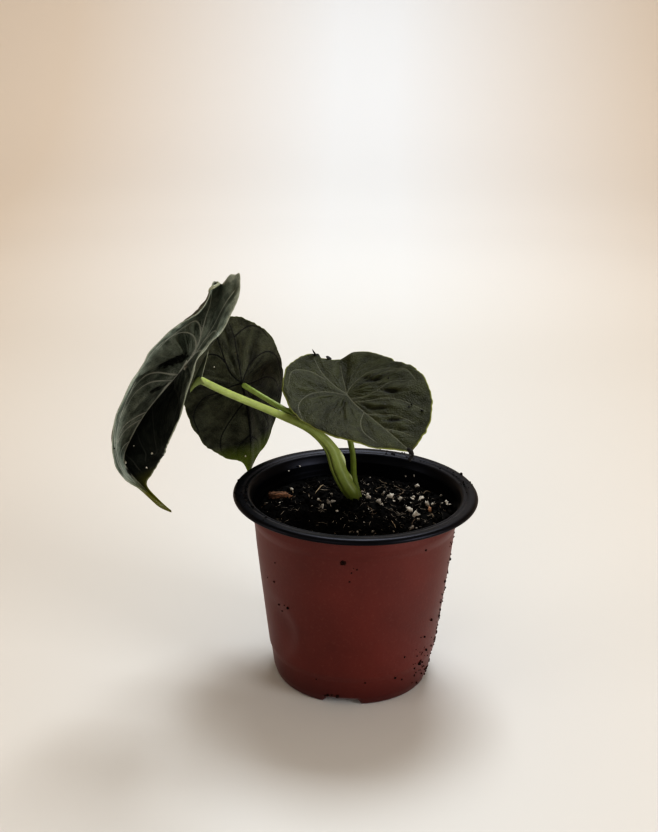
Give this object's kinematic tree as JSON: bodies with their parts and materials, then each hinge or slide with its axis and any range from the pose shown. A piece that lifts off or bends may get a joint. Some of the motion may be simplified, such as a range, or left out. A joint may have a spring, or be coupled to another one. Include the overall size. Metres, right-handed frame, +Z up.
{
  "type": "potted alocasia plant",
  "caption": "Small potted aroid: broad heart-shaped leaves on slender petioles rising from soil in a tapered nursery pot with a flat rim.",
  "frame": {"origin": "centre of the pot's flat underside, on the surface it stands on", "axes": "+Z up along the pot's axis; the plant leans towards -X and is seen from -Y"},
  "size_m": [0.1434, 0.1, 0.1725],
  "materials": {
    "pot_plastic": "satin brick red outside, black inside and on the rim",
    "potting_soil": "dark fibrous peat with white perlite",
    "petiole_green": "smooth and waxy",
    "petiole_deep_green": "smooth and waxy",
    "petiole_olive": "smooth and waxy",
    "leaf_grey_green": "dark grey-green with a soft sheen and paler veins",
    "leaf_dark_green": "dark underside with near-black veins",
    "leaf_olive_green": "matte olive green with paler veins"
  },
  "bodies": {
    "root": {"pot": "pot_plastic", "soil": "potting_soil", "petiole_left": "petiole_green", "petiole_back": "petiole_deep_green", "petiole_right": "petiole_olive", "leaf_left": "leaf_grey_green", "leaf_back": "leaf_dark_green", "leaf_right": "leaf_olive_green"}
  },
  "joints": []
}
